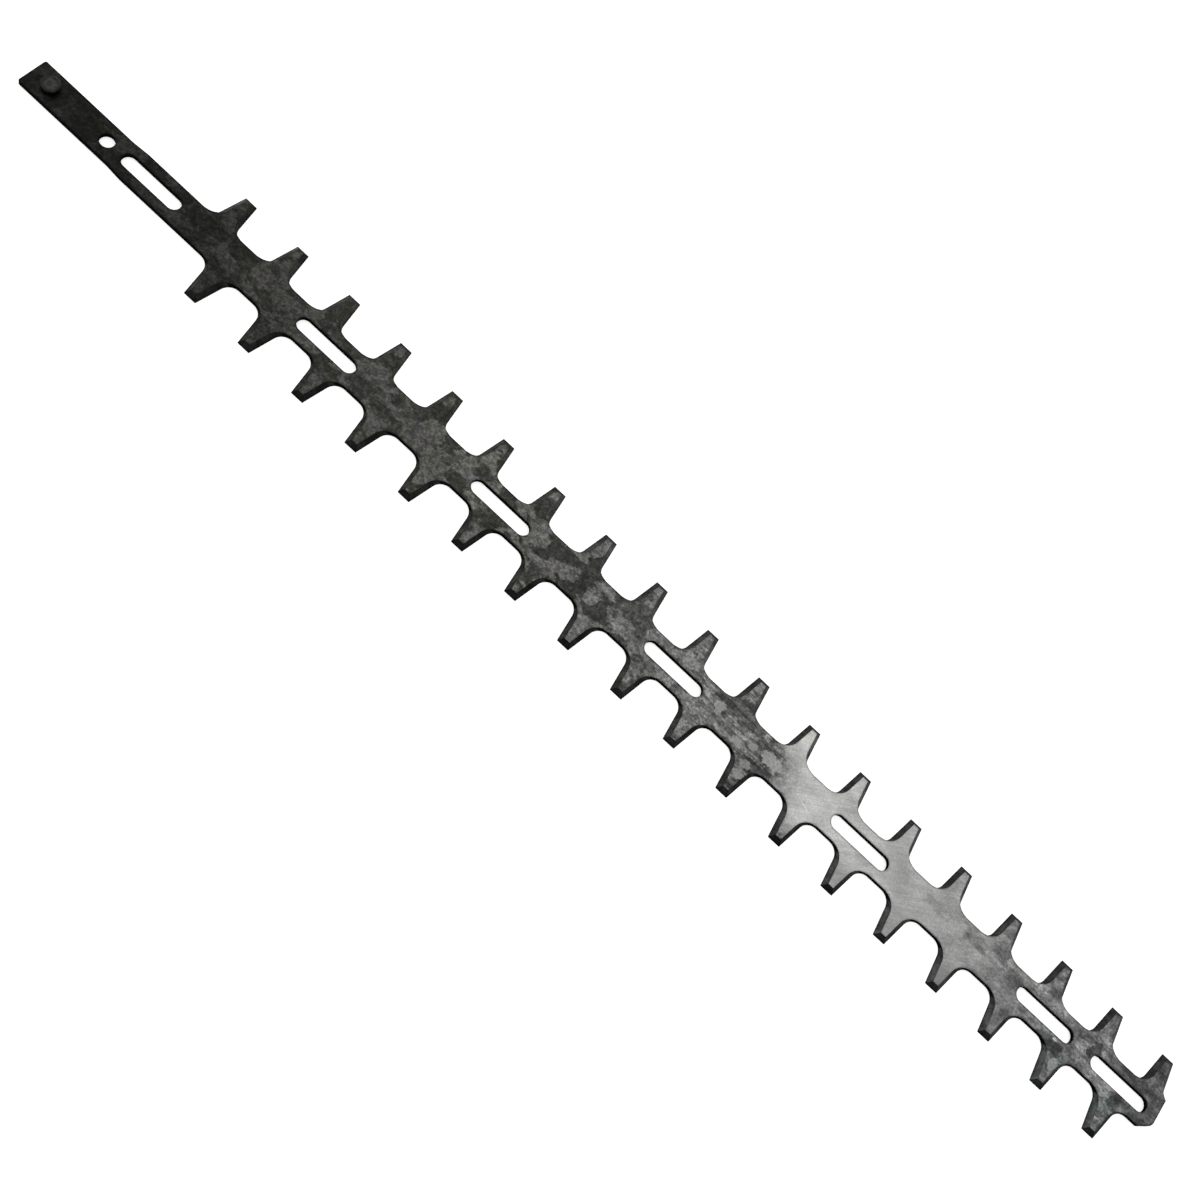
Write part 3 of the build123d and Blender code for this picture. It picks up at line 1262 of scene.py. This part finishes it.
@dataclass(frozen=True)
class TurnedPinSteel:
    """Turned steel with fine rings, dulled by oil, with ends lighter in the middle and a near-black side,
    which is painted shade.

    Attributes:
        axis_x: Where the pin's axis stands along the blade.
        radius: The pin's radius.
        tones: Display greys of its ends, each with its place from the axis in shares of the radius.
        side: The colour of its side, near black: painted shade.
        end_limit: How far the surface faces up or down where the side gives way to an end.
        rings: The rings, laid out on the distance from the axis and the height.
        ring_depth: How deep they are.
        oil: The oil.
        oil_limit: Where in its noise the steel is glossiest, and where it is dullest.
        roughness: The roughness at these two.
        tint: The oil's tint.
        edge_radius: How far the sharp edges are worn round.
    """

    axis_x: float
    radius: float
    tones: tuple[tuple[float, float], ...] = ((0.0, 62.0), (0.45, 55.0), (0.8, 46.0), (1.0, 34.0))
    # Painted shade: the side is near black.
    side: Triple = (0.010, 0.010, 0.009)
    end_limit: Limit = (0.2, 0.5)
    rings: Layer = Layer(
        Pattern((3600.0, 1.0, 3600.0), shift=(0.0, 0.5, 0.0), detail=2.0), band=0.20, spread=0.18
    )
    ring_depth: float = 0.00002
    oil: Layer = Layer(
        Pattern((420.0, 420.0, 420.0), detail=5.0, roughness=0.65), band=0.16, spread=0.38
    )
    oil_limit: Limit = (0.3, 0.7)
    roughness: Limit = (0.42, 0.62)
    tint: Triple = (1.02, 1.02, 0.92)
    edge_radius: float = 0.00030

    def material(self) -> bpy.types.Material:
        """Builds the finish.

        Returns:
            The material.
        """
        g = FinishGraph("turned_pin_steel")
        place = g.coordinate(Coordinate.PLACE)
        x, y, z = g.split(place)
        _, _, up = g.split(g.coordinate(Coordinate.FACING))
        out = g.math(Sum.SUBTRACT, x, self.axis_x)
        squares = g.math(Sum.MULTIPLY_ADD, out, out, g.math(Sum.MULTIPLY, y, y))
        reach = g.math(Sum.SQUARE_ROOT, squares)
        rings = g.noise(g.joined(reach, 0.0, z), self.rings.pattern)
        oil = g.noise(place, self.oil.pattern)
        stops = [(share, (linear(grey),) * 3) for share, grey in self.tones]
        end = g.ramp(g.math(Sum.DIVIDE, reach, self.radius), stops)
        # Painted shade on the side; the ends are lighter towards the middle.
        colour = g.mixed(g.fade(g.math(Sum.ABSOLUTE, up), *self.end_limit), self.side, end)
        for noise, layer in ((rings, self.rings), (oil, self.oil)):
            colour = g.mixed(1.0, colour, g.swing(noise, layer.band, layer.spread), Blend.MULTIPLY)
        g.put(g.shader.inputs["Base Color"], g.mixed(1.0, colour, self.tint, Blend.MULTIPLY))
        g.shader.inputs["Metallic"].default_value = 1.0
        g.put(g.shader.inputs["Roughness"], g.fade(oil, *self.oil_limit, *self.roughness))
        g.put(g.shader.inputs["Normal"], g.relief(rings, self.ring_depth, g.worn_edges(self.edge_radius)))
        return g.material


@dataclass
class Blade:
    """The toothed blade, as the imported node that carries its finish.

    Attributes:
        node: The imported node's name.
        finish: Its steel.
    """

    node: str = "blade"
    finish: OiledBladeSteel = field(default_factory=OiledBladeSteel)

    def dress(self) -> bpy.types.Object:
        """Gives the node its finish.

        Returns:
            The node's object.
        """
        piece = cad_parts[self.node]
        piece.data.materials.clear()
        piece.data.materials.append(self.finish.material())
        return piece


@dataclass
class DrivePin:
    """The riveted drive pin at the tang's end.

    Attributes:
        node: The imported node's name.
    """

    node: str = "drive_pin"

    def dress(self) -> bpy.types.Object:
        """Gives the node its finish.

        Returns:
            The node's object.
        """
        low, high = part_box(self.node)
        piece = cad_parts[self.node]
        piece.data.materials.clear()
        finish = TurnedPinSteel(axis_x=(low[0] + high[0]) / 2, radius=(high[0] - low[0]) / 2)
        piece.data.materials.append(finish.material())
        return piece


@dataclass(frozen=True)
class SoftBox:
    """A square soft light.

    Attributes:
        name: Its name.
        place: Where it hangs.
        target: What it points at.
        side: Its side length.
        power: Its power in watts.
    """

    name: str
    place: Triple
    target: Triple
    side: float
    power: float

    def hang(self) -> None:
        """Hangs the light and turns it to its target."""
        light = bpy.data.lights.new(self.name, "AREA")
        light.shape = "SQUARE"
        light.size = self.side
        light.energy = self.power
        stand = bpy.data.objects.new(self.name, light)
        stand.location = self.place
        aim = Vector(self.target) - Vector(self.place)
        stand.rotation_euler = aim.to_track_quat("-Z", "Y").to_euler()
        bpy.context.scene.collection.objects.link(stand)


@dataclass(frozen=True)
class Studio:
    """A pale floor, soft light from above and a camera that looks down on the blade.

    Attributes:
        floor_size: Side of the square floor.
        floor_drop: How far the floor lies under the blade.
        floor_grey: The floor's reflectance.
        floor_roughness: How dull it is.
        floor_glow: How much light it gives off.
        camera_place: Where the camera stands.
        camera_right: The picture's right.
        camera_up: The picture's up.
        camera_back: Away from the subject.
        lens: Focal length in millimetres.
        sensor: Width of the square sensor in millimetres.
        nearest: How near to the camera things may be and still show.
        horizon_light: Strength of the room's light at the horizon.
        ceiling_light: Strength of the room's light overhead.
        ceiling_rise: The sine of the elevation where it is reached.
        backdrop_light: How bright the room itself looks.
        soft_boxes: The soft boxes.
    """

    floor_size: float = 12.0
    floor_drop: float = 0.0002
    floor_grey: float = 0.9
    floor_roughness: float = 0.9
    floor_glow: float = 0.5
    camera_place: Triple = (0.302425, -0.347046, 0.683900)
    camera_right: Triple = (0.73119065, 0.60068710, 0.32331909)
    camera_up: Triple = (-0.68184766, 0.65818209, 0.31918664)
    camera_back: Triple = (-0.02107154, -0.45384065, 0.89083368)
    lens: float = 48.0974
    sensor: float = 36.0
    nearest: float = 0.01
    horizon_light: float = 0.35
    ceiling_light: float = 1.0
    ceiling_rise: float = 0.75
    backdrop_light: float = 0.9
    soft_boxes: tuple[SoftBox, ...] = (
        SoftBox("key_box", (0.76, 0.60, 1.15), (0.47, 0.0, 0.0), 0.5, 0.8),
        SoftBox("side_box", (-1.3, 0.5, 0.7), (0.3, 0.0, 0.0), 1.0, 6.0),
    )

    def build(self) -> None:
        """Sets up the floor, the light and the camera."""
        self.lay_floor()
        self.light_room()
        for box in self.soft_boxes:
            box.hang()
        self.place_camera()

    def lay_floor(self) -> None:
        """Lays a flat square about the origin, just under the blade."""
        half = self.floor_size / 2
        corners = np.array([(-half, -half), (half, -half), (half, half), (-half, half)])
        points = np.column_stack((corners, np.full(len(corners), -self.floor_drop)))
        mesh = bpy.data.meshes.new("studio_floor")
        mesh.from_pydata(points.tolist(), [], [tuple(range(len(corners)))])
        g = FinishGraph("pale_floor")
        g.shader.inputs["Base Color"].default_value = (*(self.floor_grey,) * 3, 1.0)
        g.shader.inputs["Roughness"].default_value = self.floor_roughness
        g.shader.inputs["Specular IOR Level"].default_value = 0.0
        g.shader.inputs["Emission Color"].default_value = WHITE
        g.shader.inputs["Emission Strength"].default_value = self.floor_glow
        mesh.materials.append(g.material)
        floor = bpy.data.objects.new("studio_floor", mesh)
        bpy.context.scene.collection.objects.link(floor)

    def light_room(self) -> None:
        """Lights the room from a pale ceiling that darkens towards the horizon."""
        world = bpy.data.worlds.new("studio_room")
        world.use_nodes = True
        tree = world.node_tree
        direction = tree.nodes.new("ShaderNodeTexCoord")
        parts = tree.nodes.new("ShaderNodeSeparateXYZ")
        tree.links.new(direction.outputs["Generated"], parts.inputs[0])
        ceiling = tree.nodes.new("ShaderNodeMapRange")
        tree.links.new(parts.outputs["Z"], ceiling.inputs["Value"])
        ceiling.inputs["From Min"].default_value = 0.0
        ceiling.inputs["From Max"].default_value = self.ceiling_rise
        ceiling.inputs["To Min"].default_value = self.horizon_light
        ceiling.inputs["To Max"].default_value = self.ceiling_light
        seen = tree.nodes.new("ShaderNodeLightPath")
        backdrop = tree.nodes.new("ShaderNodeMix")
        tree.links.new(seen.outputs["Is Camera Ray"], backdrop.inputs[0])
        tree.links.new(ceiling.outputs["Result"], backdrop.inputs[2])
        backdrop.inputs[3].default_value = self.backdrop_light
        background = tree.nodes["Background"]
        background.inputs["Color"].default_value = WHITE
        tree.links.new(backdrop.outputs[0], background.inputs["Strength"])
        bpy.context.scene.world = world
        bpy.context.scene.view_settings.view_transform = "Standard"

    def place_camera(self) -> None:
        """Stands the camera at its place, with its axes as the columns of its matrix."""
        camera = bpy.data.cameras.new("studio_camera")
        camera.lens = self.lens
        camera.sensor_width = self.sensor
        camera.clip_start = self.nearest
        stand = bpy.data.objects.new("studio_camera", camera)
        axes = np.eye(4)
        axes[:3, 0] = self.camera_right
        axes[:3, 1] = self.camera_up
        axes[:3, 2] = self.camera_back
        axes[:3, 3] = self.camera_place
        stand.matrix_world = Matrix(axes.tolist())
        bpy.context.scene.collection.objects.link(stand)
        bpy.context.scene.camera = stand


def main() -> None:
    """Dresses the pieces, logs each one's finish and builds the studio."""
    logging.basicConfig(level=logging.INFO, format="%(name)s: %(message)s")
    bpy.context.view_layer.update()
    for part in (Blade(), DrivePin()):
        piece = part.dress()
        LOG.info("%s dressed in %s", piece.name, piece.data.materials[0].name)
    Studio().build()


if __name__ == "__main__":
    main()
